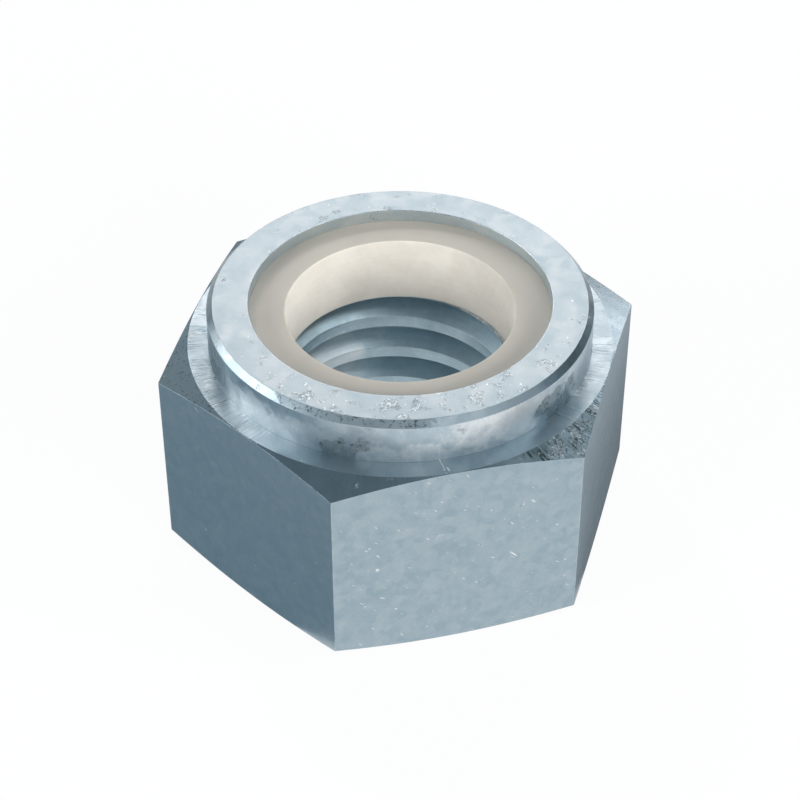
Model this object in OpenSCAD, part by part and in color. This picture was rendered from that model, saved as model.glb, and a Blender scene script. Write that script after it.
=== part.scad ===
// Nylon insert lock nut: a hexagonal steel nut with a collar that holds a nylon ring.
// It stands on its bearing face, which is z = 0, and the thread's axis is Z. Lengths are in millimetres.

/* [Hexagon] */
// Width across the hexagon's flats
across_flats = 13; // [12:0.1:14]
// Height of the shoulder, the flat ring at the collar's foot
shoulder_h = 6.56; // [6:0.02:7]
// Width of the shoulder, where the chamfer over the corners starts
shoulder_d = 12.96; // [12.2:0.02:12.96]
// Slope of the chamfer over the corners, in degrees
shoulder_slope = 16; // [10:1:30]
// Width of the round bearing face, where the chamfer under the corners starts
bearing_d = 12.92; // [11.6:0.02:12.96]
// Slope of the chamfer under the corners, in degrees
bearing_slope = 15; // [10:1:30]

/* [Collar] */
// Height of the whole nut
nut_h = 8; // [7.6:0.05:8.6]
// Outer width of the collar
collar_d = 11.7; // [11.2:0.1:12.4]
// Width of the bevel around the collar's top
bevel_w = 0.18; // [0.1:0.02:0.4]
// Height of the bevel around the collar's top
bevel_h = 0.2; // [0.1:0.02:0.4]
// Width of the opening inside the lip, which is rolled in over the nylon ring
lip_d = 9.17; // [8.6:0.05:9.8]
// Thickness of the lip
lip_t = 0.4; // [0.3:0.05:0.6]

/* [Thread] */
// Nominal size of the thread, the width across the roots of its groove
thread_d = 8; // [7.6:0.1:8.4]
// Rise of the thread in one turn
pitch = 1.25; // [1:0.05:1.5]
// Width of the tapped hole between the thread's crests
hole_d = 6.8; // [6.65:0.05:6.95]
// Angle at which the middle of the groove passes the bearing face
thread_turn = 45; // [0:5:355]
// Width of the countersink's mouth
countersink_d = 8.4; // [8.1:0.1:9.2]
// Slope of the countersink, in degrees from the bearing face
countersink_slope = 30; // [25:5:45]

/* [Nylon ring] */
// Outer width of the ring
ring_d = 10.2; // [9.9:0.05:10.6]
// Height of the ring
ring_h = 2.2; // [1.8:0.05:2.6]
// Width of the ring's plain hole, which the bolt cuts its own thread into
ring_hole_d = 6.98; // [6.8:0.02:7.4]
// Gap between the ring and the wall of its pocket
ring_gap = 0.02; // [0.01:0.01:0.05]

/* [Hidden] */
$fn = 96;
corner_r = across_flats / 2 / cos(30);
hole_r = hole_d / 2;
thread_r = thread_d / 2;
// Every second quarter of the tapped hole is wider by this hair, so that each quarter has a wall of its own
quarter_step = 0.005;
// How far a cut runs past the face that it opens
over = pitch;
rim_r = corner_r + over;
// The ring lies on a seat under the lip
seat_z = nut_h - lip_t - ring_h;
// A flank leans 30 degrees, and ridge and groove are equally wide at the pitch line
flank_slope = 30;
pitch_line_r = thread_r - 3 / 16 * pitch / tan(flank_slope);
// The groove's inner side lies a little inside the hole, in the open
groove_in_r = hole_r - 0.08 * pitch;
// Rings of points in one turn of the groove, which runs from below the nut to above the seat
turn_steps = 36;
groove_steps = ceil(turn_steps * (seat_z / pitch + 2));

// The steel before it is bored: a hexagon, turned to its chamfers, shoulder and collar
module blank() {
    bearing_r = bearing_d / 2;
    shoulder_r = shoulder_d / 2;
    collar_r = collar_d / 2;
    intersection() {
        cylinder(h = nut_h, r = corner_r, $fn = 6);
        rotate_extrude()
            polygon([
                [0, 0],
                [bearing_r, 0],
                [rim_r, (rim_r - bearing_r) * tan(bearing_slope)],
                [rim_r, shoulder_h - (rim_r - shoulder_r) * tan(shoulder_slope)],
                [shoulder_r, shoulder_h],
                [collar_r, shoulder_h],
                [collar_r, nut_h - bevel_h],
                [collar_r - bevel_w, nut_h],
                [0, nut_h],
            ]);
    }
}

// The tapped hole, bored a quarter at a time
module hole() {
    for (quarter = [0 : 3])
        rotate([0, 0, thread_turn + 90 * quarter + 180 / turn_steps])
            rotate_extrude(angle = 90)
                translate([0, -over])
                    square([hole_r + quarter_step * (quarter % 2), seat_z + 2 * over]);
}

// Half the groove's width at a given distance from the axis
function groove_half(r) = pitch / 4 + (pitch_line_r - r) * tan(flank_slope);

// The groove's four corners after so many turns, counted from where it passes the bearing face
function groove_ring(turns) =
    let (a = 360 * turns + thread_turn)
    [for (corner = [[groove_in_r, -1], [thread_r, -1], [thread_r, 1], [groove_in_r, 1]])
        let (r = corner[0])
        [r * cos(a), r * sin(a), pitch * turns + corner[1] * groove_half(r)]];

// The right-hand thread's groove
module groove() {
    points = [for (i = [0 : groove_steps]) each groove_ring(i / turn_steps - 1)];
    last = 4 * groove_steps;
    sides = [for (i = [0 : groove_steps - 1], k = [0 : 3])
        let (a = 4 * i + k, b = 4 * i + (k + 1) % 4)
        each [[b + 4, a + 4, a], [b, b + 4, a]]];
    polyhedron(
        points = points,
        faces = concat([[3, 2, 1, 0]], sides, [[last, last + 1, last + 2, last + 3]]),
        convexity = 12
    );
}

// The countersink that lets a bolt's first thread in
module countersink() {
    rise = tan(countersink_slope);
    mouth_r = countersink_d / 2;
    translate([0, 0, -over])
        cylinder(h = over + mouth_r * rise, r1 = mouth_r + over / rise, r2 = 0);
}

// The pocket that the nylon ring fills, and the opening inside the lip above it
module pocket() {
    translate([0, 0, seat_z])
        cylinder(h = ring_h, r = ring_d / 2 + ring_gap);
    translate([0, 0, seat_z])
        cylinder(h = ring_h + lip_t + over, r = lip_d / 2);
}

// Zinc-plated steel
module nut_body() {
    color([0.66, 0.72, 0.76])
        difference() {
            blank();
            hole();
            groove();
            countersink();
            pocket();
        }
}

// The nylon ring, on its seat and under the lip
module nylon_ring() {
    color([0.78, 0.75, 0.7])
        translate([0, 0, seat_z])
            difference() {
                cylinder(h = ring_h, r = ring_d / 2);
                translate([0, 0, -over])
                    cylinder(h = ring_h + 2 * over, r = ring_hole_d / 2);
            }
}

nut_body();
nylon_ring();
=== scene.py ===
"""A nylon insert lock nut: its steel body and its nylon ring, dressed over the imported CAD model.

Every length is in metres, in the CAD model's frame: the bearing face is z = 0 and the thread's axis is Z.
"""

import math
from typing import NamedTuple

import bmesh
import bpy
import numpy as np
from bpy.props import FloatProperty, FloatVectorProperty, PointerProperty
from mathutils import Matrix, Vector


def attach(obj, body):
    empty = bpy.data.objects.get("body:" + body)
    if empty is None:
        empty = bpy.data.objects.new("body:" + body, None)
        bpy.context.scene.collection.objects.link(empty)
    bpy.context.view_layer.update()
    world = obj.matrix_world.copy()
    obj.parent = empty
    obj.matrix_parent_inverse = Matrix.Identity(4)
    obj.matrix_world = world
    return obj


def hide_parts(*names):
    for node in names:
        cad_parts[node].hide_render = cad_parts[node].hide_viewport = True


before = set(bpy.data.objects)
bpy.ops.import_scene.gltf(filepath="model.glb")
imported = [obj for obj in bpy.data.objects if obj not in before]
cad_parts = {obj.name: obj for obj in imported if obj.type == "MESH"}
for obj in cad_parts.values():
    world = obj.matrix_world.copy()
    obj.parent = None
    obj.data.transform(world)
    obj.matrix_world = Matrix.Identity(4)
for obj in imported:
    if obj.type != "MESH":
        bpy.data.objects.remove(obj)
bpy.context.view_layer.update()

bl_info = {
    "name": "Nylon insert lock nut",
    "version": (1, 0, 0),
    "blender": (4, 5, 0),
    "location": "View3D > Sidebar > Lock nut",
    "description": "Builds a nylon insert lock nut, its finishes and a small studio",
    "category": "Add Mesh",
}

MM = 0.001
BODY = "root"
# The steel body's zones, which each have a finish of their own
STEEL_ZONES = ("flats", "lip", "lip wall", "bevel", "collar", "shoulder", "chamfer", "thread")
# The mesh attribute that marks edges, and the turn in radians that counts as a full edge
EDGE_MARKS = "edge_marks"
EDGE_TURN = 0.3
# The turn in degrees from which an edge is shaded sharp
SHARP_TURN = 38
# Columns of points on each of the hexagon's six sides, and around the nylon ring
SIDE_COLUMNS = 46
RING_COLUMNS = 288
# Steps in a rounding of the thread, of the rest of the steel and of the ring
THREAD_STEPS, STEEL_STEPS, RING_STEPS = 3, 4, 5
# The least z of a face's normal on the lip, on the shoulder or a chamfer, and on the shoulder
LIP_UP, SLOPE_UP, SHOULDER_UP = 0.93, 0.8, 0.985
# The zinc's single chips are dashes: how they are turned in space, and how much they are squeezed along each axis
CHIP_TILT = (0.0, math.radians(-38), 0.3)
CHIP_SHAPE = (0.42, 0.5, 1.6)
# Half the floor's width in metres, and how far the cards lie above it in millimetres
FLOOR_HALF = 1.5
CARD_LIFT = 0.02
# The corners on the floor of the cards that paint a shaded floor into the metal's reflections, in millimetres
LEFT_CARD = ((-6.4, 1.2), (-3.9, -7.8), (-13.0, -9.4), (-25.0, 2.0), (-24.0, 8.0), (-10.0, 5.0))
RIGHT_CARD = ((3.9, -6.9), (10.2, -2.8), (14.8, 6.2), (11.5, 8.8), (7.0, 1.0))


def length(name, description, default_mm):
    """A length that a user can change, given in millimetres and kept in metres."""
    return FloatProperty(
        name=name, description=description, default=default_mm * MM, min=0.0, precision=6, unit="LENGTH"
    )


def angle(name, description, degrees):
    """An angle that a user can change."""
    return FloatProperty(name=name, description=description, default=math.radians(degrees), subtype="ANGLE")


def colour(name, description, default):
    """A colour that a user can change, in linear light."""
    return FloatVectorProperty(
        name=name, description=description, default=default, min=0.0, max=1.0, size=3, subtype="COLOR"
    )


def share(name, description, default):
    """A number from 0 to 1 that a user can change."""
    return FloatProperty(name=name, description=description, default=default, min=0.0, max=1.0, subtype="FACTOR")


class LockNutSizes(bpy.types.PropertyGroup):
    """Lengths and slopes of the nut."""

    across_flats: length("Across flats", "Width of the hexagon across its flats", 13.0)
    corner_round: length("Corner rounding", "Rounding of the hexagon's upright edges", 0.035)
    shoulder_h: length("Shoulder height", "Height of the flat ring at the collar's foot", 6.56)
    shoulder_d: length("Shoulder width", "Width of that ring, where the chamfer starts", 12.96)
    shoulder_slope: angle("Upper chamfer", "Slope of the chamfer over the corners", 16.0)
    bearing_d: length("Bearing width", "Width of the bearing face", 12.92)
    bearing_slope: angle("Lower chamfer", "Slope of the chamfer under the corners", 15.0)
    nut_h: length("Height", "Height of the whole nut", 8.0)
    collar_d: length("Collar width", "Outer width of the collar", 11.7)
    bevel_w: length("Bevel width", "Width of the bevel around the collar's top", 0.18)
    bevel_h: length("Bevel height", "Height of that bevel", 0.2)
    lip_d: length("Lip opening", "Width of the opening inside the lip", 9.17)
    lip_t: length("Lip thickness", "Thickness of the lip over the ring", 0.4)
    thread_d: length("Thread size", "Width across the roots of the thread", 8.0)
    pitch: length("Pitch", "Rise of the thread in one turn", 1.25)
    hole_d: length("Tapped hole", "Width between the thread's crests", 6.8)
    thread_turn: angle("Thread start", "Angle at which the groove passes the bearing face", 45.0)
    countersink_d: length("Countersink width", "Width of the countersink's mouth", 8.4)
    countersink_slope: angle("Countersink slope", "Slope of the countersink from the bearing face", 30.0)
    edge_round: length("Edge rounding", "Rounding of the pressed edges", 0.006)
    fine_round: length("Fine rounding", "Rounding of the turned edges and of the thread", 0.022)
    foot_round: length("Foot rounding", "Rounding between the collar's foot and the shoulder", 0.004)
    ring_d: length("Ring width", "Outer width of the nylon ring", 10.2)
    ring_h: length("Ring height", "Height of the nylon ring", 2.2)
    ring_hole_d: length("Ring hole", "Width of the nylon ring's hole", 6.98)
    ring_gap: length("Ring gap", "Gap between the ring and its pocket", 0.02)
    ring_round: length("Ring rounding", "Rounding of the ring's edges", 0.015)


class LockNutFinish(bpy.types.PropertyGroup):
    """Colours of the zinc and the nylon, and the size of their marks."""

    zinc_light: colour("Light zinc", "Zinc plating where its clouds are lightest", (0.48, 0.54, 0.575))
    zinc_pale: colour("Pale zinc", "Zinc plating on the lip, where it is worn pale", (0.515, 0.527, 0.533))
    zinc_blue: colour("Blue zinc", "Zinc plating on the collar and the chamfers", (0.468, 0.558, 0.613))
    # Painted shade: a cooler, bluer coat for the thread and the wall inside the lip, standing for the bluish light
    # in those shaded zones.
    zinc_cool: colour("Cool zinc", "Zinc plating in the thread and inside the lip", (0.46, 0.6, 0.67))
    zinc_deep: colour("Deep zinc", "Zinc plating where its clouds are deepest", (0.3, 0.4, 0.46))
    # Also the painted highlight: where painted light lifts the zinc's level past one, the zinc turns this colour.
    zinc_bright: colour("Bright zinc", "Flecks and rubbed edges, where the zinc is polished", (0.85, 0.88, 0.89))
    # Also the painted shade: where painted shade pushes the zinc's level below zero, the zinc turns this colour,
    # besides the real grime of the flecks and specks.
    zinc_grime: colour("Grime", "Dark green-grey grime in the pits of the plating", (0.035, 0.06, 0.065))
    zinc_metallic: share("Zinc metallic", "How much of the zinc shines as metal", 0.94)
    zinc_rough: share("Zinc roughness", "Middle roughness of the satin zinc", 0.34)
    cloud_size: length("Cloud size", "Size of the zinc's soft clouds", 1.0)
    fleck_size: length("Fleck size", "Size of the crinkled flecks", 0.17)
    speck_size: length("Speck size", "Size of the grime's specks", 0.11)
    # Painted light and shade: the hole's wall takes the light nylon, and the top and the rest of the ring the dull
    # nylon, for how the light falls on them.
    nylon_light: colour("Light nylon", "Natural nylon on the smooth wall of its hole", (0.78, 0.735, 0.665))
    nylon_deep: colour("Deep nylon", "Natural nylon between its light and dull parts", (0.56, 0.515, 0.455))
    nylon_dull: colour("Dull nylon", "Natural nylon on the handled top", (0.465, 0.425, 0.368))
    nylon_rough: share("Nylon roughness", "Roughness of the moulded nylon", 0.46)
    nylon_depth: length("Nylon depth", "How far light runs inside the nylon", 0.35)


class LockNutStudio(bpy.types.PropertyGroup):
    """The camera, the floor and the strength of the lamps."""

    lens: FloatProperty(name="Lens", description="Focal length in millimetres", default=98.525, min=1.0)
    shift: FloatProperty(name="Shift", description="Sideways shift of the lens", default=-0.0002, precision=4)
    camera_turn: angle("Camera turn", "Angle of the camera around the thread's axis", 255.049)
    camera_lift: angle("Camera lift", "Height of the camera as an angle", 39.877)
    camera_away: length("Camera distance", "Distance from the camera to the middle of the nut", 68.505)
    camera_aim: length("Camera aim", "Height on the thread's axis that the camera looks at", 3.994)
    floor_colour: colour("Floor", "Colour of the floor and of the space around it", (0.86, 0.86, 0.86))
    # The cards are painted reflections: glowing sheets, seen only in the metal, that stand for shaded floor beside
    # the nut's left and right flats.
    left_card_colour: colour("Left card", "Colour of the card to the nut's left", (0.25, 0.34, 0.4))
    left_card_level: share("Left card level", "Brightness of that card", 0.94)
    right_card_colour: colour("Right card", "Colour of the card to the nut's right", (0.3, 0.335, 0.36))
    right_card_level: share("Right card level", "Brightness of that card", 0.76)
    world_colour: colour("Room colour", "Colour of the even light all around", (0.58, 0.83, 1.0))
    lamp_away: length("Lamp distance", "Distance from the lamps to the nut", 300.0)
    world_level: share("Room light", "Strength of the even light all around", 0.19)


def rounded(path, radii, segments):
    """A polyline with its corners rounded, and a point close to each end of a rounding to keep flats flat.

    path holds arrays of (r, z) for every column at once, so its shape is (points, columns, 2).
    """
    out = [path[0]]
    for i in range(1, len(path) - 1):
        before, here, after = path[i - 1], path[i], path[i + 1]
        a, b = before - here, after - here
        la = np.maximum(np.linalg.norm(a, axis=1), 1e-9)
        lb = np.maximum(np.linalg.norm(b, axis=1), 1e-9)
        a, b = a / la[:, None], b / lb[:, None]
        turn = np.arccos(np.clip(-(a * b).sum(1), -1, 1))
        if radii[i] <= 0:
            out.append(here)
            continue
        reach = np.minimum(radii[i] * np.tan(turn / 2), 0.42 * np.minimum(la, lb))
        radius = reach / np.maximum(np.tan(turn / 2), 1e-9)
        middle = a + b
        middle = middle / np.maximum(np.linalg.norm(middle, axis=1), 1e-12)[:, None]
        centre = here + middle * (radius / np.maximum(np.cos(turn / 2), 1e-9))[:, None]
        start = here + a * reach[:, None] - centre
        out.append(here + a * np.minimum(reach * 2.2, 0.48 * la)[:, None])
        side = here + b * reach[:, None] - centre
        for k in range(segments + 1):
            t = k / segments
            w0 = np.sin((1 - t) * turn) / np.maximum(np.sin(turn), 1e-12)
            w1 = np.sin(t * turn) / np.maximum(np.sin(turn), 1e-12)
            out.append(centre + start * w0[:, None] + side * w1[:, None])
        out.append(here + b * np.minimum(reach * 2.2, 0.48 * lb)[:, None])
    out.append(path[-1])
    return np.stack(out)


def column_angles(sizes, between):
    """Angles of the columns around the axis, closer together over the hexagon's upright edges."""
    rho = sizes.corner_round
    distance = (sizes.across_flats / 2 - rho) / math.cos(math.radians(30))
    edge = math.atan2(rho * math.sin(math.radians(30)), distance + rho * math.cos(math.radians(30)))
    near = [edge * k for k in (-2.0, -1.0, -0.66, -0.33, 0.0, 0.33, 0.66, 1.0, 2.0)]
    step = (math.radians(60) - 4 * edge) / between
    far = [2 * edge + step * k for k in range(1, between)]
    return np.array([math.radians(60 * corner) + a for corner in range(6) for a in near + far]), edge


def hexagon_radius(sizes, angles, edge):
    """Distance from the axis to the rounded hexagon, whose corners are at 0, 60, ... degrees."""
    half = math.radians(30)
    apothem, rho = sizes.across_flats / 2, sizes.corner_round
    off = np.abs((angles + half) % (2 * half) - half)
    centre = (apothem - rho) / math.cos(half)
    flat = apothem / np.cos(half - off)
    bow = centre * np.cos(off) + np.sqrt(np.maximum(rho**2 - (centre * np.sin(off)) ** 2, 0))
    return np.where(off < edge, bow, flat)


def thread_section(sizes):
    """One pitch of the thread's section as (height, radius) pairs, the groove in its middle."""
    slope = math.tan(math.radians(30))
    hole_r, root_r = sizes.hole_d / 2, sizes.thread_d / 2
    pitch_line_r = root_r - 3 / 16 * sizes.pitch / slope

    def half(r):
        return sizes.pitch / 4 + (pitch_line_r - r) * slope

    crest, root, end = half(hole_r), half(root_r), sizes.pitch / 2
    path = np.array([[[-end, hole_r]], [[-crest, hole_r]], [[-root, root_r]],
                     [[root, root_r]], [[crest, hole_r]], [[end, hole_r]]])
    radii = [0, sizes.fine_round, sizes.fine_round * 1.5, sizes.fine_round * 1.5, sizes.fine_round, 0]
    return rounded(path, radii, THREAD_STEPS)[:, 0, :]


def steel_grid(sizes):
    """Points of the steel body, one row for each point of its section, and how many of the rows are thread."""
    angles, edge = column_angles(sizes, SIDE_COLUMNS)
    n = len(angles)
    hexagon = hexagon_radius(sizes, angles, edge)
    section = thread_section(sizes)
    per_pitch = len(section) - 1
    seat_z = sizes.nut_h - sizes.lip_t - sizes.ring_h
    mouth_r = sizes.countersink_d / 2
    cone = 1 / math.tan(sizes.countersink_slope)

    lead = sizes.pitch * (angles - sizes.thread_turn) / (2 * math.pi)

    def thread_r(z):
        s = (z - lead + sizes.pitch / 2) % sizes.pitch - sizes.pitch / 2
        return np.interp(s, section[:, 0], section[:, 1])

    # the height at which the thread comes out of the countersink, found column by column
    low, high = np.zeros(n), np.full(n, (mouth_r - sizes.hole_d / 2) / cone)
    steps = np.linspace(0, 1, 400)[:, None] * high[None, :]
    clear = np.array([thread_r(z) for z in steps]) > mouth_r - steps * cone
    first = np.where(clear.any(0), clear.argmax(0), len(steps) - 1)
    meet_z = steps[first, np.arange(n)]
    meet_r = np.maximum(thread_r(meet_z), mouth_r - meet_z * cone)

    top = math.ceil((seat_z + sizes.pitch) / sizes.pitch) + 1
    thread = []
    for turn in range(top, -3, -1):
        for s, _ in section[:0:-1]:
            z = np.clip(s + turn * sizes.pitch + lead, meet_z, seat_z)
            thread.append(np.stack([np.where(z <= meet_z, meet_r, thread_r(z)), z], 1))
    thread = np.stack(thread)

    def at(r, z):
        return np.stack([np.broadcast_to(r, n), np.broadcast_to(z, n)], 1)

    bearing_r, shoulder_r, collar_r = sizes.bearing_d / 2, sizes.shoulder_d / 2, sizes.collar_d / 2
    pocket_r, lip_r = sizes.ring_d / 2 + sizes.ring_gap, sizes.lip_d / 2
    lip_z = sizes.nut_h - sizes.lip_t
    edge_r, fine_r = sizes.edge_round, sizes.fine_round
    corners = [
        (at(meet_r, meet_z), 0),
        (at(mouth_r, 0.0), edge_r),
        (at(bearing_r, 0.0), edge_r),
        (at(hexagon, (hexagon - bearing_r) * math.tan(sizes.bearing_slope)), edge_r),
        (at(hexagon, sizes.shoulder_h - (hexagon - shoulder_r) * math.tan(sizes.shoulder_slope)), edge_r),
        (at(shoulder_r, sizes.shoulder_h), fine_r),
        (at(collar_r, sizes.shoulder_h), sizes.foot_round),
        (at(collar_r, sizes.nut_h - sizes.bevel_h), fine_r),
        (at(collar_r - sizes.bevel_w, sizes.nut_h), fine_r),
        (at(lip_r, sizes.nut_h), fine_r),
        (at(lip_r, lip_z), fine_r),
        (at(pocket_r, lip_z), 0),
        (at(pocket_r, seat_z), 0),
        (thread[0], 0),
    ]
    outside = rounded(np.stack([c[0] for c in corners]), [c[1] for c in corners], STEEL_STEPS)
    return angles, outside, thread, per_pitch


def mesh_from(name, points, faces):
    """A mesh of those points and faces, with points that coincide made one."""
    mesh = bpy.data.meshes.new(name)
    mesh.from_pydata(points.tolist(), [], faces)
    build = bmesh.new()
    build.from_mesh(mesh)
    bmesh.ops.remove_doubles(build, verts=build.verts, dist=1e-8)
    bmesh.ops.dissolve_degenerate(build, edges=build.edges, dist=1e-9)
    bmesh.ops.recalc_face_normals(build, faces=build.faces)
    open_edges = [e for e in build.edges if len(e.link_faces) != 2]
    if open_edges:
        raise RuntimeError(f"{name} has {len(open_edges)} open edges")
    build.to_mesh(mesh)
    build.free()
    mesh.shade_smooth()
    mesh.set_sharp_from_angle(angle=math.radians(SHARP_TURN))
    return mesh


def spun(angles, section):
    """Points in space of a section given as (r, z) for every row and column."""
    r, z = section[..., 0], section[..., 1]
    return np.stack([r * np.cos(angles), r * np.sin(angles), z], -1)


def linked(name, data):
    """A new object in the scene."""
    made = bpy.data.objects.new(name, data)
    bpy.context.scene.collection.objects.link(made)
    return made


def shown(name, mesh, node, materials):
    """Adds a piece that stands for a CAD node and rides on the nut."""
    piece = linked(name, mesh)
    for material in materials:
        mesh.materials.append(material)
    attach(piece, BODY)
    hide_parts(node)
    level = piece.modifiers.new("flat faces", "WEIGHTED_NORMAL")
    level.keep_sharp = True


def add(tree, kind, into=None, **settings):
    """Adds a node to a tree and gives its inputs their values or links."""
    made = tree.nodes.new(kind)
    for key, value in settings.items():
        setattr(made, key, value)
    for key, value in (into or {}).items():
        if isinstance(value, bpy.types.NodeSocket):
            tree.links.new(value, made.inputs[key])
        else:
            made.inputs[key].default_value = value
    return made


def reckon(tree, operation, *values, clamp=False):
    """The result of a Math node."""
    return add(tree, "ShaderNodeMath", dict(enumerate(values)), operation=operation, use_clamp=clamp).outputs[0]


def product(tree, first, *others):
    """The product of numbers, made of Math nodes."""
    for other in others:
        first = reckon(tree, "MULTIPLY", first, other)
    return first


def reckon_vector(tree, operation, *values):
    """The result of a Vector Math node: a number from a length or a dot product, and otherwise a vector."""
    made = add(tree, "ShaderNodeVectorMath", dict(enumerate(values)), operation=operation)
    return made.outputs["Value" if operation in ("LENGTH", "DOT_PRODUCT") else "Vector"]


def parts(tree, place):
    """A place's x, y and z, and the same place moved down to z = 0."""
    apart = add(tree, "ShaderNodeSeparateXYZ", {0: place}).outputs
    return apart, add(tree, "ShaderNodeCombineXYZ", {0: apart[0], 1: apart[1]}).outputs[0]


def ramp(tree, value, low, high, to_low=0.0, to_high=1.0):
    """A value that climbs softly from to_low to to_high while the input goes from low to high."""
    into = {"Value": value, "From Min": low, "From Max": high, "To Min": to_low, "To Max": to_high}
    return add(tree, "ShaderNodeMapRange", into, interpolation_type="SMOOTHSTEP").outputs["Result"]


def noise(tree, place, detail=2.0, roughness=0.5, distortion=0.0):
    """Noise whose features are about one unit of place across."""
    into = {"Vector": place, "Scale": 1.0, "Detail": detail, "Roughness": roughness, "Distortion": distortion}
    return add(tree, "ShaderNodeTexNoise", into).outputs["Fac"]


def tint(tree, amount, first, second):
    """A colour that goes from first to second as the amount goes from 0 to 1."""
    made = add(tree, "ShaderNodeMix", {0: amount, 6: first, 7: second}, data_type="RGBA")
    return made.outputs[2]


def times(tree, place, factor):
    """A place or another vector, multiplied by a number."""
    return add(tree, "ShaderNodeVectorMath", {0: place, "Scale": factor}, operation="SCALE").outputs[0]


def scaled(tree, place, size):
    """A place measured in units of size."""
    return times(tree, place, reckon(tree, "DIVIDE", 1.0, size))


def plus(tree, amount, *more):
    """An amount with others added to it, each given as a pair of the other and its factor."""
    for other, factor in more:
        amount = reckon(tree, "ADD", amount, product(tree, other, factor))
    return amount


class Patch(NamedTuple):
    """A part of a zone around a turn in degrees, between two heights in mm, and how much more of a mark, or of
    painted light and shade, it has.
    """

    turn: float
    whole: float
    faded: float
    more: float
    low: float = -9.0
    high: float = 19.0
    soft: float = 0.25


def shared_group(name, takes, gives, build):
    """A node group that is made once. build gets the tree and its inputs, and returns its outputs in order."""
    if name in bpy.data.node_groups:
        return bpy.data.node_groups[name]
    group = bpy.data.node_groups.new(name, "ShaderNodeTree")
    for label, default in takes:
        kind = "NodeSocketVector" if default is None else "NodeSocketFloat"
        socket = group.interface.new_socket(label, in_out="INPUT", socket_type=kind)
        if default is not None:
            socket.default_value = default
    for label in gives:
        group.interface.new_socket(label, in_out="OUTPUT", socket_type="NodeSocketFloat")
    enter, leave = group.nodes.new("NodeGroupInput"), group.nodes.new("NodeGroupOutput")
    for label, result in zip(gives, build(group, {label: enter.outputs[label] for label, _ in takes})):
        group.links.new(result, leave.inputs[label])
    return group


def placed(tree, group, **values):
    """Places a shared group in a material with that material's own values."""
    made = tree.nodes.new("ShaderNodeGroup")
    made.node_tree = group
    for key, value in values.items():
        socket = made.inputs[key.replace("_", " ").capitalize()]
        if isinstance(value, bpy.types.NodeSocket):
            tree.links.new(value, socket)
        else:
            socket.default_value = value
    return made.outputs


def patch_group():
    """A patch with a ragged border, on the side of the nut at a turn around its axis and between two heights.

    It is whole out to one angle from the turn, and faded away at a wider one.
    """

    def build(tree, given):
        into = {"Vector": scaled(tree, given["Place"], 0.7), "Scale": 1.0, "Detail": 3.0}
        ragged = add(tree, "ShaderNodeTexNoise", into).outputs["Color"]
        off = reckon_vector(tree, "SUBTRACT", ragged, (0.5, 0.5, 0.5))
        apart, flat = parts(tree, reckon_vector(tree, "ADD", given["Place"], times(tree, off, 1.5)))
        turn, whole, faded = (reckon(tree, "RADIANS", given[label]) for label in ("Turn", "Whole", "Faded"))
        into = {0: reckon(tree, "COSINE", turn), 1: reckon(tree, "SINE", turn)}
        way = add(tree, "ShaderNodeCombineXYZ", into).outputs[0]
        near = reckon_vector(tree, "DOT_PRODUCT", reckon_vector(tree, "NORMALIZE", flat), way)
        here = ramp(tree, near, reckon(tree, "COSINE", faded), reckon(tree, "COSINE", whole))
        from_low = ramp(tree, apart[2], reckon(tree, "SUBTRACT", given["Low"], given["Soft"]), given["Low"])
        to_high = ramp(tree, apart[2], reckon(tree, "ADD", given["High"], given["Soft"]), given["High"])
        return [product(tree, here, from_low, to_high)]

    takes = [("Place", None), ("Turn", 0.0), ("Whole", 10.0), ("Faded", 20.0)]
    takes += [("Low", 0.0), ("High", 9.0), ("Soft", 0.25)]
    return shared_group("ragged patch", takes, ["Patch"], build)


def stronger(tree, place, amount, patches):
    """An amount with what each patch adds to it."""
    for spot in patches:
        where = spot._asdict()
        more = where.pop("more")
        here = placed(tree, patch_group(), place=place, **where)["Patch"]
        amount = plus(tree, amount, (here, more))
    return amount


def clouds_group():
    """Soft clouds and faint crystal patches of a zinc coat."""

    def build(tree, given):
        place = scaled(tree, given["Place"], given["Patch size"])
        soft = noise(tree, place, 4.0, 0.55, 0.7)
        into = {"Vector": place, "Scale": 1.7, "Smoothness": 0.35}
        cell = add(tree, "ShaderNodeTexVoronoi", into, feature="SMOOTH_F1").outputs["Color"]
        crystal = add(tree, "ShaderNodeSeparateColor", {"Color": cell}).outputs[0]
        small = product(tree, given["Patch size"], 0.12)
        fine = noise(tree, scaled(tree, given["Place"], small), 3.0, 0.65)
        all_three = plus(tree, product(tree, soft, 0.5), (crystal, 0.2), (fine, 0.3))
        off = product(tree, reckon(tree, "SUBTRACT", all_three, 0.5), given["Contrast"])
        return [reckon(tree, "ADD", off, 0.5, clamp=True)]

    return shared_group("zinc clouds", [("Place", None), ("Patch size", 1.0), ("Contrast", 2.0)], ["Cloud"], build)


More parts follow.
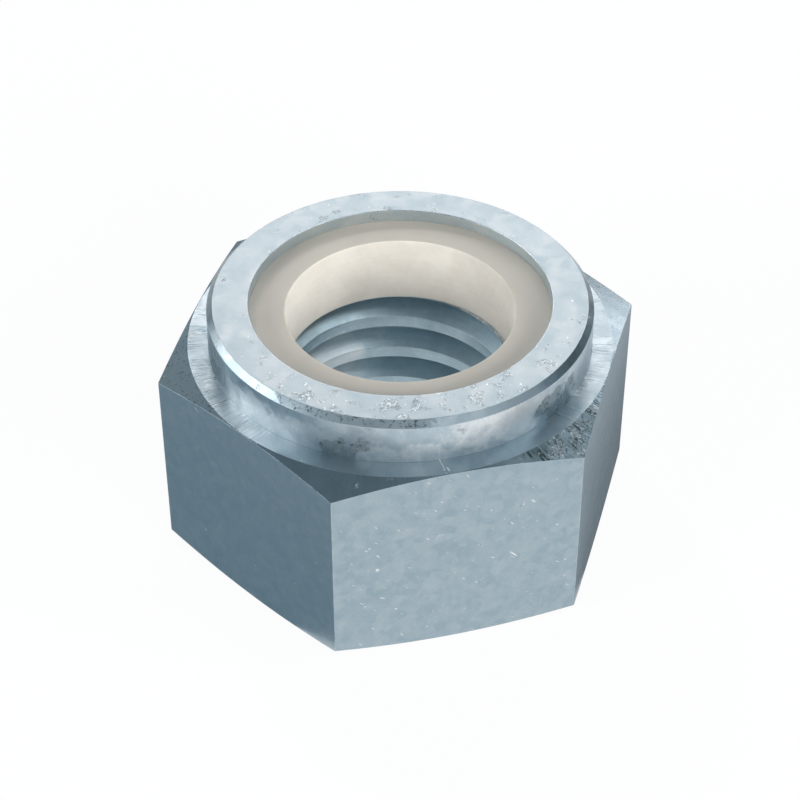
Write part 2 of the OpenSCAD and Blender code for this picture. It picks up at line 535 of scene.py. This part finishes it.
def flecks_group():
    """Clusters of thin crinkled lines in the zinc, and single chips between them."""

    def build(tree, given):
        crinkle = noise(tree, scaled(tree, given["Place"], given["Fleck size"]), 2.0, 0.6, 1.4)
        wide = noise(tree, scaled(tree, given["Place"], given["Cluster size"]), 3.0, 0.6, 0.6)
        low = reckon(tree, "SUBTRACT", 0.8, product(tree, given["Amount"], 0.45))
        cluster = ramp(tree, wide, low, reckon(tree, "ADD", low, 0.05))
        # short dashes that lie slantwise
        into = {"Vector": given["Place"], "Rotation": CHIP_TILT}
        tilted = add(tree, "ShaderNodeVectorRotate", into, rotation_type="EULER_XYZ").outputs[0]
        tilted = reckon_vector(tree, "MULTIPLY", scaled(tree, tilted, given["Fleck size"]), CHIP_SHAPE)
        bent = add(tree, "ShaderNodeTexNoise", {"Vector": tilted, "Scale": 0.6, "Detail": 2.0}).outputs["Color"]
        bent = reckon_vector(tree, "ADD", tilted, scaled(tree, bent, 0.42))
        chip = add(tree, "ShaderNodeTexVoronoi", {"Vector": bent, "Scale": 1.0})
        chance, wide_chip = add(tree, "ShaderNodeSeparateColor", {"Color": chip.outputs["Color"]}).outputs[:2]
        off = reckon(tree, "DIVIDE", chip.outputs["Distance"], ramp(tree, wide_chip, 0.0, 1.0, 0.3, 0.85))
        rare = product(tree, given["Chips"], ramp(tree, wide, 0.35, 0.6, 0.3, 1.5))
        rare = reckon(tree, "SUBTRACT", 1.0, rare)
        lone = product(tree, ramp(tree, chance, rare, reckon(tree, "ADD", rare, 0.03)), ramp(tree, off, 0.24, 0.14))
        crest = ramp(tree, reckon(tree, "ABSOLUTE", reckon(tree, "SUBTRACT", crinkle, 0.57)), 0.045, 0.015)
        trough = ramp(tree, reckon(tree, "ABSOLUTE", reckon(tree, "SUBTRACT", crinkle, 0.46)), 0.035, 0.012)
        light = reckon(tree, "MAXIMUM", product(tree, crest, cluster), lone)
        dark = product(tree, trough, cluster)
        return [light, dark, reckon(tree, "SUBTRACT", light, dark)]

    takes = [("Place", None), ("Fleck size", 0.2), ("Cluster size", 0.5), ("Amount", 0.5), ("Chips", 0.2)]
    return shared_group("zinc flecks", takes, ["Light", "Dark", "Height"], build)


def lines_group():
    """Tool lines around the axis: radial ones across a turned ring, and round ones along a bored wall."""

    def build(tree, given):
        apart, flat = parts(tree, given["Place"])
        out = reckon_vector(tree, "LENGTH", flat)
        unit = reckon_vector(tree, "NORMALIZE", flat)
        around = add(tree, "ShaderNodeSeparateXYZ", {0: scaled(tree, unit, given["Spacing"])}).outputs
        into = {0: around[0], 1: around[1], 2: product(tree, out, 1.1)}
        radial = noise(tree, add(tree, "ShaderNodeCombineXYZ", into).outputs[0], 2.5, 0.65)
        come = noise(tree, scaled(tree, given["Place"], 0.5), 1.0)
        radial = reckon(tree, "SUBTRACT", radial, 0.5)
        radial = product(tree, radial, ramp(tree, come, 0.38, 0.62, 0.25, 1.3))
        climb = reckon(tree, "DIVIDE", reckon(tree, "DIVIDE", apart[2], given["Spacing"]), 6.0)
        spread = reckon(tree, "DIVIDE", reckon(tree, "DIVIDE", out, given["Spacing"]), 6.0)
        rings = add(tree, "ShaderNodeCombineXYZ", {0: spread, 1: climb, 2: product(tree, apart[0], 0.15)})
        around = reckon(tree, "SUBTRACT", noise(tree, rings.outputs[0], 2.5, 0.65), 0.5)
        return [radial, around]

    return shared_group("tool lines", [("Place", None), ("Spacing", 0.013)], ["Radial", "Round"], build)


def specks_group():
    """Clusters of small dark pits that hold grime, in a faint stain."""

    def build(tree, given):
        fine = noise(tree, scaled(tree, given["Place"], given["Speck size"]), 3.0, 0.7, 0.3)
        wide = noise(tree, scaled(tree, given["Place"], given["Cluster size"]), 3.0, 0.6, 0.5)
        low = reckon(tree, "SUBTRACT", 0.86, product(tree, given["Amount"], 0.5))
        cluster = ramp(tree, wide, low, reckon(tree, "ADD", low, 0.12))
        return [product(tree, cluster, ramp(tree, fine, 0.57, 0.63)), cluster]

    takes = [("Place", None), ("Speck size", 0.14), ("Cluster size", 0.7), ("Amount", 0.5)]
    return shared_group("grime specks", takes, ["Speck", "Stain"], build)


def scratch_group():
    """One thin scratch that runs down and outwards at a turn around the axis, in degrees."""

    def build(tree, given):
        apart, flat = parts(tree, given["Place"])
        along = reckon(tree, "SUBTRACT", reckon_vector(tree, "LENGTH", flat), apart[2])
        turn = product(tree, reckon(tree, "ARCTAN2", apart[1], apart[0]), 180 / math.pi)
        wander = reckon(tree, "SUBTRACT", noise(tree, scaled(tree, given["Place"], 0.5), 3.0, 0.6), 0.5)
        wander = plus(tree, product(tree, wander, 2.2), (along, -1.2))
        off = reckon(tree, "ABSOLUTE", reckon(tree, "SUBTRACT", reckon(tree, "ADD", turn, wander), given["Turn"]))
        inside = product(tree, ramp(tree, along, -1.35, -1.2), ramp(tree, along, 0.0, -0.15))
        broken = ramp(tree, noise(tree, scaled(tree, given["Place"], 0.12), 1.0), 0.36, 0.5)
        return [product(tree, ramp(tree, off, 0.34, 0.1), inside, broken)]

    return shared_group("thin scratch", [("Place", None), ("Turn", 0.0)], ["Scratch"], build)


def edges_group():
    """Wear that follows the rounded edges and breaks up along them."""

    def build(tree, given):
        rub = noise(tree, scaled(tree, given["Place"], given["Break size"]), 3.0, 0.6)
        return [reckon(tree, "MULTIPLY", given["Edge"], ramp(tree, rub, 0.4, 0.6), clamp=True)]

    return shared_group("worn edges", [("Place", None), ("Edge", 0.0), ("Break size", 0.3)], ["Worn"], build)


def new_material(name):
    """A new material with its tree and its shader."""
    material = bpy.data.materials.new(name)
    material.use_nodes = True
    return material, material.node_tree, material.node_tree.nodes["Principled BSDF"]


def start_material(name):
    """A new material with its tree, its shader, the place on the piece in millimetres and the edge marks."""
    material, tree, shader = new_material(name)
    place = times(tree, tree.nodes.new("ShaderNodeTexCoord").outputs["Object"], 1 / MM)
    edge = add(tree, "ShaderNodeAttribute", attribute_name=EDGE_MARKS).outputs["Fac"]
    return material, tree, shader, place, edge


def zinc(
    name,
    finish,
    coat=None,
    clouds=2.0,
    cloud_size=1.0,
    deep=0.0,
    painted_light_patches=(),
    flecks=0.3,
    chips=0.1,
    flecked=(),
    specks=0.2,
    stain=0.2,
    specked=(),
    radial=0.0,
    stroked=(),
    rounds=0.0,
    scratch=None,
    relief=1.0,
    rough=0.0,
):
    """Satin zinc plating. The numbers say how strong each kind of mark is on one zone of the nut.

    coat is the colour of the light coat, where it isn't the usual one.
    deep makes the whole zone darker, or lighter below zero: partly the zone's own tone, partly painted shade and
    painted light.
    lit holds patches of painted light and shade: places painted lighter where highlights and reflections fall, and
    darker where shade falls.
    flecked, specked and stroked are patches with more flecks, specks and radial lines.
    """
    material, tree, shader, place, edge = start_material(name)
    cloud_size *= finish.cloud_size / MM
    cloud = placed(tree, clouds_group(), place=place, patch_size=cloud_size, contrast=clouds)["Cloud"]
    amount, chips = (stronger(tree, place, least, flecked) for least in (flecks, chips))
    fleck = placed(tree, flecks_group(), place=place, fleck_size=finish.fleck_size / MM, amount=amount, chips=chips)
    amount = stronger(tree, place, specks, specked)
    speck = placed(tree, specks_group(), place=place, speck_size=finish.speck_size / MM, amount=amount)
    worn = placed(tree, edges_group(), place=place, edge=edge)["Worn"]
    lines = placed(tree, lines_group(), place=place)
    line = product(tree, lines["Radial"], stronger(tree, place, radial, stroked))
    line = plus(tree, line, (lines["Round"], rounds))

    light, dull, bright, grime = (
        (*c, 1.0) for c in (coat or finish.zinc_light, finish.zinc_deep, finish.zinc_bright, finish.zinc_grime)
    )
    # Painted light and shade: deep and the patches in lit move the level of whole zones and of places on them to
    # stand for the light and shade that fall there; only the clouds and the tool lines are the zinc's own tone.
    # Below zero the level turns to zinc_grime, so painted shade looks like grime, and above one to zinc_bright, so
    # painted light looks like polish.
    level = reckon(tree, "ADD", reckon(tree, "SUBTRACT", cloud, deep), line)
    level = stronger(tree, place, level, painted_light_patches)
    body = tint(tree, reckon(tree, "MULTIPLY", level, -0.5, clamp=True), dull, grime)
    body = tint(tree, level, body, light)
    body = tint(tree, reckon(tree, "SUBTRACT", level, 1.0, clamp=True), body, bright)
    marks = [
        (fleck["Dark"], 0.45, grime),
        (fleck["Light"], 0.8, bright),
        (speck["Stain"], stain, grime),
        (speck["Speck"], 0.8, grime),
        (worn, 0.3, bright),
    ]
    height = product(tree, line, 0.45)
    if scratch is not None:
        thin = placed(tree, scratch_group(), place=place, turn=scratch)["Scratch"]
        marks.append((thin, 0.85, bright))
        height = plus(tree, height, (thin, 0.3))
    for mark, strength, paint in marks:
        body = tint(tree, product(tree, mark, strength), body, paint)
    tree.links.new(body, shader.inputs["Base Color"])

    shader.inputs["Metallic"].default_value = finish.zinc_metallic
    middle = finish.zinc_rough + rough
    dull_part = ramp(tree, cloud, 0.0, 1.0, middle + 0.07, middle - 0.05)
    dull_part = plus(tree, dull_part, (line, 0.2), (speck["Stain"], 0.12))
    dull_part = reckon(tree, "SUBTRACT", dull_part, product(tree, worn, 0.1), clamp=True)
    tree.links.new(dull_part, shader.inputs["Roughness"])

    grain = noise(tree, scaled(tree, place, 0.07), 2.0, 0.6)
    waves = noise(tree, scaled(tree, place, 0.6), 1.0)
    height = plus(tree, height, (grain, 0.1), (waves, 0.5), (fleck["Height"], 0.2), (speck["Speck"], -0.5))
    bump = add(tree, "ShaderNodeBump", {"Strength": 1.0, "Distance": 0.012 * MM * relief, "Height": height})
    tree.links.new(bump.outputs["Normal"], shader.inputs["Normal"])
    return material


def steel_finishes(finish):
    # Painted light and shade, zone by zone: deep and the patches in lit make each zone lighter or darker where
    # light, reflections and shade fall on it, such as the bright reflections on the collar, the dark sides of the
    # bevel, the darker front of the shoulder, the dark chamfers and the thread.
    """The steel body's materials, in the order of STEEL_ZONES."""
    return [
        zinc(
            "zinc on the flats",
            finish,
            clouds=1.6,
            cloud_size=0.5,
            deep=0.18,
            flecks=0.1,
            chips=0.13,
            flecked=[Patch(270, 27, 30, 0.2), Patch(90, 27, 30, 0.15), Patch(30, 20, 30, 0.1)],
            specks=0.3,
            stain=0.08,
        ),
        zinc(
            "zinc on the lip",
            finish,
            coat=finish.zinc_pale,
            cloud_size=0.8,
            clouds=1.0,
            deep=-0.1,
            flecks=0.32,
            chips=0.05,
            flecked=[Patch(262, 40, 75, 0.24), Patch(90, 20, 60, 0.12)],
            specks=0.1,
            relief=0.6,
        ),
        # Painted light: the wall inside the lip is painted much lighter, in the cool coat, standing for light on
        # that shaded wall.
        zinc("zinc inside the lip", finish, coat=finish.zinc_cool, clouds=1.0, deep=-0.95, specks=0.1, rounds=0.6),
        zinc(
            "zinc on the bevel",
            finish,
            coat=finish.zinc_blue,
            clouds=1.8,
            cloud_size=0.6,
            deep=-0.35,
            painted_light_patches=[Patch(205, 10, 25, 0.1), Patch(332, 18, 36, -1.9), Patch(154, 18, 28, -1.9)],
            flecks=0.4,
            specks=0.45,
            stain=0.3,
            specked=[Patch(243, 8, 30, 0.8)],
        ),
        zinc(
            "zinc on the collar",
            finish,
            coat=finish.zinc_blue,
            clouds=2.4,
            cloud_size=0.8,
            deep=-0.45,
            painted_light_patches=[
                Patch(287, 6, 22, 0.7, low=6.9),
                Patch(209, 8, 20, 0.5, high=7.3, soft=0.35),
                Patch(214, 12, 26, -0.9, low=7.55, soft=0.3),
                Patch(305, 1, 12, -1.3, high=7.0, soft=0.4),
                Patch(183, 4, 12, -1.1),
                Patch(264, 16, 30, 0.65, high=6.95),
                Patch(239, 1, 10, -0.75, high=7.0, soft=0.35),
            ],
            flecks=0.3,
            chips=0.06,
            specks=0.42,
            stain=0.35,
            specked=[Patch(239, 2, 10, 0.5, high=7.1), Patch(306, 3, 13, 0.5, high=7.4), Patch(184, 3, 12, 0.5)],
            scratch=-93.0,
        ),
        zinc(
            "zinc on the shoulder",
            finish,
            clouds=1.4,
            deep=-0.55,
            painted_light_patches=[Patch(255, 20, 45, -0.65), Patch(290, 13, 26, -0.75)],
            specks=0.3,
            radial=0.4,
            stroked=[Patch(185, 25, 40, 2.8), Patch(340, 25, 45, 1.8)],
            scratch=-93.0,
        ),
        zinc(
            "zinc on the chamfers",
            finish,
            coat=finish.zinc_blue,
            clouds=1.4,
            deep=0.5,
            painted_light_patches=[
                Patch(240, 14, 26, -0.45),
                Patch(282, 8, 14, -1.3),
                Patch(306, 8, 16, -0.1),
                Patch(182, 15, 28, 0.3),
                Patch(4, 20, 34, 1.1),
            ],
            flecked=[Patch(304, 8, 16, 0.5)],
            specks=0.4,
            stain=0.3,
            specked=[Patch(184, 14, 24, 0.9), Patch(302, 10, 16, 0.7)],
            radial=0.3,
            stroked=[Patch(306, 10, 20, 7.5)],
            rough=-0.08,
        ),
        # Painted light and shade: the thread is painted lighter, in the cool coat, for light that would reach it up
        # through the hole, with a lighter patch low on its far side and darker ones under the nylon.
        zinc(
            "zinc in the thread",
            finish,
            coat=finish.zinc_cool,
            clouds=1.4,
            deep=-0.5,
            flecks=0.1,
            chips=0.0,
            specks=0.3,
            rounds=0.8,
            painted_light_patches=[
                Patch(110, 14, 34, 0.5, high=4.2),
                Patch(118, 18, 42, -0.3, low=4.9, soft=0.3),
                Patch(64, 8, 26, -0.6, low=4.9, soft=0.6),
                Patch(70, 18, 32, -0.25, high=3.9),
            ],
            relief=0.6,
            rough=0.1,
        ),
    ]


def zone_of(face, sizes):
    """Which zone of the steel body a face lies in."""
    centre, normal = face.center, face.normal
    out = math.hypot(centre.x, centre.y)
    lip_z = sizes.nut_h - sizes.lip_t + sizes.fine_round
    seat_z = sizes.nut_h - sizes.lip_t - sizes.ring_h
    if out < sizes.thread_d / 2 + sizes.edge_round * 4 and centre.z < seat_z + sizes.fine_round:
        return "thread"
    if out < sizes.lip_d / 2 + sizes.fine_round or (out < sizes.ring_d / 2 + sizes.edge_round and centre.z < lip_z):
        return "lip" if normal.z > LIP_UP else "lip wall"
    if centre.z > sizes.nut_h - sizes.bevel_h + sizes.fine_round:
        return "lip" if normal.z > LIP_UP else "bevel"
    if centre.z > sizes.shoulder_h + sizes.fine_round:
        return "collar"
    if abs(normal.z) > SLOPE_UP:
        return "shoulder" if abs(normal.z) > SHOULDER_UP else "chamfer"
    return "flats"


def mark_edges(mesh):
    """Marks each point with how sharply the mesh turns outwards there, for the wear along edges."""
    build = bmesh.new()
    build.from_mesh(mesh)
    turn = [max((e.calc_face_angle_signed(0.0) for e in v.link_edges), default=0.0) for v in build.verts]
    build.free()
    marks = mesh.attributes.new(EDGE_MARKS, "FLOAT", "POINT")
    marks.data.foreach_set("value", np.clip(np.array(turn) / EDGE_TURN, 0, 1).astype(np.float32))


def natural_nylon(finish, ring_hole_r):
    """Natural nylon: smooth, faintly clouded and a little translucent, its hole's wall painted lighter than the
    rest of the ring: painted light and shade.
    """
    material, tree, shader, place, edge = start_material("natural nylon")
    cloud = placed(tree, clouds_group(), place=place, patch_size=1.6, contrast=1.2)["Cloud"]
    lines = placed(tree, lines_group(), place=place, spacing=0.02)
    worn = placed(tree, edges_group(), place=place, edge=edge)["Worn"]
    level = plus(tree, cloud, (lines["Round"], 0.25))
    level = reckon(tree, "SUBTRACT", level, product(tree, worn, 0.1), clamp=True)
    out = reckon_vector(tree, "LENGTH", parts(tree, place)[1])
    # Painted light and shade: from just past the hole's wall outwards, the ring takes the darker colours.
    top = ramp(tree, out, ring_hole_r / MM + 0.002, ring_hole_r / MM + 0.016)
    body = tint(tree, level, (*finish.nylon_deep, 1.0), (*finish.nylon_light, 1.0))
    dull = tint(tree, product(tree, level, 0.5), (*finish.nylon_dull, 1.0), (*finish.nylon_deep, 1.0))
    tree.links.new(tint(tree, top, body, dull), shader.inputs["Base Color"])
    rough = ramp(tree, cloud, 0.0, 1.0, finish.nylon_rough + 0.05, finish.nylon_rough - 0.05)
    tree.links.new(rough, shader.inputs["Roughness"])
    shader.inputs["IOR"].default_value = 1.53
    shader.inputs["Subsurface Weight"].default_value = 0.35
    shader.inputs["Subsurface Radius"].default_value = (1.0, 0.85, 0.65)
    shader.inputs["Subsurface Scale"].default_value = finish.nylon_depth
    grain = noise(tree, scaled(tree, place, 0.05), 2.0, 0.6)
    height = plus(tree, product(tree, grain, 0.15), (lines["Round"], 0.2))
    bump = add(tree, "ShaderNodeBump", {"Strength": 1.0, "Distance": 0.004 * MM, "Height": height})
    tree.links.new(bump.outputs["Normal"], shader.inputs["Normal"])
    return material


# The property groups, under their names in the scene
GROUPS = {"locknut_sizes": LockNutSizes, "locknut_finish": LockNutFinish, "locknut_studio": LockNutStudio}


class LOCKNUT_OT_steel(bpy.types.Operator):
    """Build the steel body: hexagon, collar, lip and tapped hole"""

    bl_idname = "locknut.steel"
    bl_label = "Steel body"

    def execute(self, context):
        sizes = context.scene.locknut_sizes
        angles, outside, thread, per_pitch = steel_grid(sizes)
        n, rows = len(angles), len(outside)
        points = np.concatenate([spun(angles, outside), spun(angles, thread[1:])])
        faces = []
        total = len(points)
        for row in range(total - 1):
            for i in range(n):
                j = (i + 1) % n
                lift = per_pitch if (j == 0 and row >= rows - 1) else 0
                # past the last column the thread's rows go on one pitch higher, which is earlier in the list
                a, b = row * n + i, (row + 1) * n + i
                c = max(row + 1 - lift, rows - 1) if row + 1 >= rows - 1 else row + 1
                d = max(row - lift, rows - 1) if row >= rows - 1 else row
                faces.append((a, b, c * n + j, d * n + j))
        mesh = mesh_from("steel_body", points.reshape(-1, 3), faces)
        mark_edges(mesh)
        shown("steel_body", mesh, "nut_body", steel_finishes(context.scene.locknut_finish))
        for face in mesh.polygons:
            face.material_index = STEEL_ZONES.index(zone_of(face, sizes))
        return {"FINISHED"}


class LOCKNUT_OT_ring(bpy.types.Operator):
    """Build the nylon ring in its pocket"""

    bl_idname = "locknut.ring"
    bl_label = "Nylon ring"

    def execute(self, context):
        sizes = context.scene.locknut_sizes
        low = sizes.nut_h - sizes.lip_t - sizes.ring_h
        high = low + sizes.ring_h
        hole, outer = sizes.ring_hole_d / 2, sizes.ring_d / 2
        n = RING_COLUMNS
        angles = np.arange(n) / n * 2 * math.pi
        middle = (hole + outer) / 2
        path = [(middle, low), (outer, low), (outer, high), (hole, high), (hole, low), (middle, low)]
        path = np.array([[p] for p in path])
        soft = sizes.ring_round
        section = rounded(path, [0, soft, soft, soft, soft, 0], RING_STEPS)[:-1]
        points = spun(angles, np.repeat(section, n, 1))
        rows = len(section)
        faces = [
            (row * n + i, row * n + (i + 1) % n, (row + 1) % rows * n + (i + 1) % n, (row + 1) % rows * n + i)
            for row in range(rows)
            for i in range(n)
        ]
        mesh = mesh_from("nylon_insert", points.reshape(-1, 3), faces)
        mark_edges(mesh)
        shown("nylon_insert", mesh, "nylon_ring", [natural_nylon(context.scene.locknut_finish, hole)])
        return {"FINISHED"}


def seat(name, data, turn, lift, away, aim):
    """Puts a lamp or a camera at a turn and a lift around the nut, looking at a height on its axis."""
    back = Vector((math.cos(lift) * math.cos(turn), math.cos(lift) * math.sin(turn), math.sin(lift)))
    made = linked(name, data)
    made.location = Vector((0.0, 0.0, aim)) + back * away
    made.rotation_mode = "QUATERNION"
    made.rotation_quaternion = (-back).to_track_quat("-Z", "Y")
    return made


class Lamp(NamedTuple):
    """A soft rectangular lamp at a turn and a lift in degrees, as wide and high as a share of its distance.

    Its level is how bright its face is, where 1 is white. One that isn't shiny makes no glint, and one that
    doesn't light only shows in the metal.
    """

    name: str
    turn: float
    lift: float
    wide: float
    high: float
    level: float
    shiny: bool = True
    lights: bool = True


LAMPS = (
    Lamp("back panel", 71, 35, 0.85, 0.42, 1.9),
    Lamp("left panel", 165, 27, 1.0, 0.65, 2.6, lights=False),
    Lamp("front sheen", 269, 38, 1.3, 0.5, 0.62),
    Lamp("high panel", 350, 59, 0.7, 0.45, 2.2, lights=False),
    Lamp("back key", 103, 37, 0.15, 0.12, 42.0, shiny=False),
    Lamp("right key", 335, 20, 0.6, 0.4, 8.3, shiny=False),
    Lamp("front key", 285, 20, 0.6, 0.4, 9.3, shiny=False),
    Lamp("left fill", 200, 20, 0.6, 0.4, 10.0, shiny=False),
)


def hang(lamp, studio):
    """Hangs one of the lamps in the studio."""
    data = bpy.data.lights.new(lamp.name, "AREA")
    data.shape = "RECTANGLE"
    data.size, data.size_y = lamp.wide * studio.lamp_away, lamp.high * studio.lamp_away
    data.energy = lamp.level * math.pi * data.size * data.size_y
    turn, lift = math.radians(lamp.turn), math.radians(lamp.lift)
    made = seat(lamp.name, data, turn, lift, studio.lamp_away, studio.camera_aim)
    made.visible_camera = False
    made.visible_glossy, made.visible_diffuse = lamp.shiny, lamp.lights


def glossy_shade_card(name, corners, tone, level):
    """A grey sheet on the floor that glows and shows only in the metal: a painted reflection of shaded floor beside
    the nut.
    """
    mesh = bpy.data.meshes.new(name)
    mesh.from_pydata([(x * MM, y * MM, CARD_LIFT * MM) for x, y in corners], [], [tuple(range(len(corners)))])
    card = linked(name, mesh)
    grey, _, shader = new_material(name)
    shader.inputs["Base Color"].default_value = (0.0, 0.0, 0.0, 1.0)
    shader.inputs["Specular IOR Level"].default_value = 0.0
    shader.inputs["Emission Color"].default_value = (*tone, 1.0)
    shader.inputs["Emission Strength"].default_value = level
    mesh.materials.append(grey)
    card.visible_camera = card.visible_diffuse = card.visible_shadow = card.visible_transmission = False


def show_white(tree, own, kind, end, camera_share, metal_share):
    """Mixes pure white of one kind of shader into a surface's own shader, for the camera and for the metal.

    The shares say how much of what each of them sees is that white, and end is the tree's output.
    """
    path = tree.nodes.new("ShaderNodeLightPath").outputs
    straight = reckon(tree, "MAXIMUM", path["Is Camera Ray"], path["Is Transmission Ray"])
    straight = product(tree, straight, camera_share)
    seen = reckon(tree, "MAXIMUM", straight, product(tree, path["Is Glossy Ray"], metal_share))
    white = add(tree, kind, {"Color": (1.0, 1.0, 1.0, 1.0), "Strength": 1.0})
    mixed = add(tree, "ShaderNodeMixShader", {0: seen, 1: own.outputs[0], 2: white.outputs[0]})
    tree.links.new(mixed.outputs[0], tree.nodes[end].inputs["Surface"])


class LOCKNUT_OT_stage(bpy.types.Operator):
    """Build the studio: camera, pale floor, soft lamps and an even room light"""

    bl_idname = "locknut.stage"
    bl_label = "Studio"

    def execute(self, context):
        scene, studio = context.scene, context.scene.locknut_studio
        camera = bpy.data.cameras.new("studio camera")
        camera.lens, camera.sensor_width, camera.shift_x = studio.lens, 36.0, studio.shift
        camera.clip_start, camera.clip_end = 0.001, 10.0
        scene.camera = seat(
            "studio camera", camera, studio.camera_turn, studio.camera_lift, studio.camera_away, studio.camera_aim
        )

        mesh = bpy.data.meshes.new("pale floor")
        corners = [(x * FLOOR_HALF, y * FLOOR_HALF, 0) for x, y in ((-1, -1), (1, -1), (1, 1), (-1, 1))]
        mesh.from_pydata(corners, [], [(0, 1, 2, 3)])
        floor = linked("pale_floor", mesh)
        paper, tree, shader = new_material("pale paper")
        shader.inputs["Base Color"].default_value = (*studio.floor_colour, 1.0)
        shader.inputs["Roughness"].default_value = 0.9
        shader.inputs["Specular IOR Level"].default_value = 0.0
        show_white(tree, shader, "ShaderNodeEmission", "Material Output", 0.93, 0.8)
        mesh.materials.append(paper)

        glossy_shade_card("left_card", LEFT_CARD, studio.left_card_colour, studio.left_card_level)
        glossy_shade_card("right_card", RIGHT_CARD, studio.right_card_colour, studio.right_card_level)
        for lamp in LAMPS:
            hang(lamp, studio)

        world = bpy.data.worlds.new("studio room")
        scene.world = world
        world.use_nodes = True
        tree = world.node_tree
        background = tree.nodes["Background"]
        background.inputs["Color"].default_value = (*studio.world_colour, 1.0)
        background.inputs["Strength"].default_value = studio.world_level
        show_white(tree, background, "ShaderNodeBackground", "World Output", 1.0, 0.1)
        scene.view_settings.view_transform = "Standard"
        return {"FINISHED"}


class LOCKNUT_PT_nut(bpy.types.Panel):
    """The nut's pieces, sizes, finish and studio"""

    bl_idname = "LOCKNUT_PT_nut"
    bl_label = "Lock nut"
    bl_space_type = "VIEW_3D"
    bl_region_type = "UI"
    bl_category = "Lock nut"

    def draw(self, context):
        for operator in (LOCKNUT_OT_steel, LOCKNUT_OT_ring, LOCKNUT_OT_stage):
            self.layout.operator(operator.bl_idname)
        for group, kind in GROUPS.items():
            box = self.layout.box()
            for name in kind.__annotations__:
                box.prop(getattr(context.scene, group), name)


CLASSES = (*GROUPS.values(), LOCKNUT_OT_steel, LOCKNUT_OT_ring, LOCKNUT_OT_stage, LOCKNUT_PT_nut)


def register():
    for kind in CLASSES:
        bpy.utils.register_class(kind)
    for name, kind in GROUPS.items():
        setattr(bpy.types.Scene, name, PointerProperty(type=kind))


def unregister():
    for name in reversed(GROUPS):
        delattr(bpy.types.Scene, name)
    for kind in reversed(CLASSES):
        bpy.utils.unregister_class(kind)


def main():
    register()
    bpy.ops.locknut.steel()
    bpy.ops.locknut.ring()
    bpy.ops.locknut.stage()


if __name__ == "__main__":
    main()
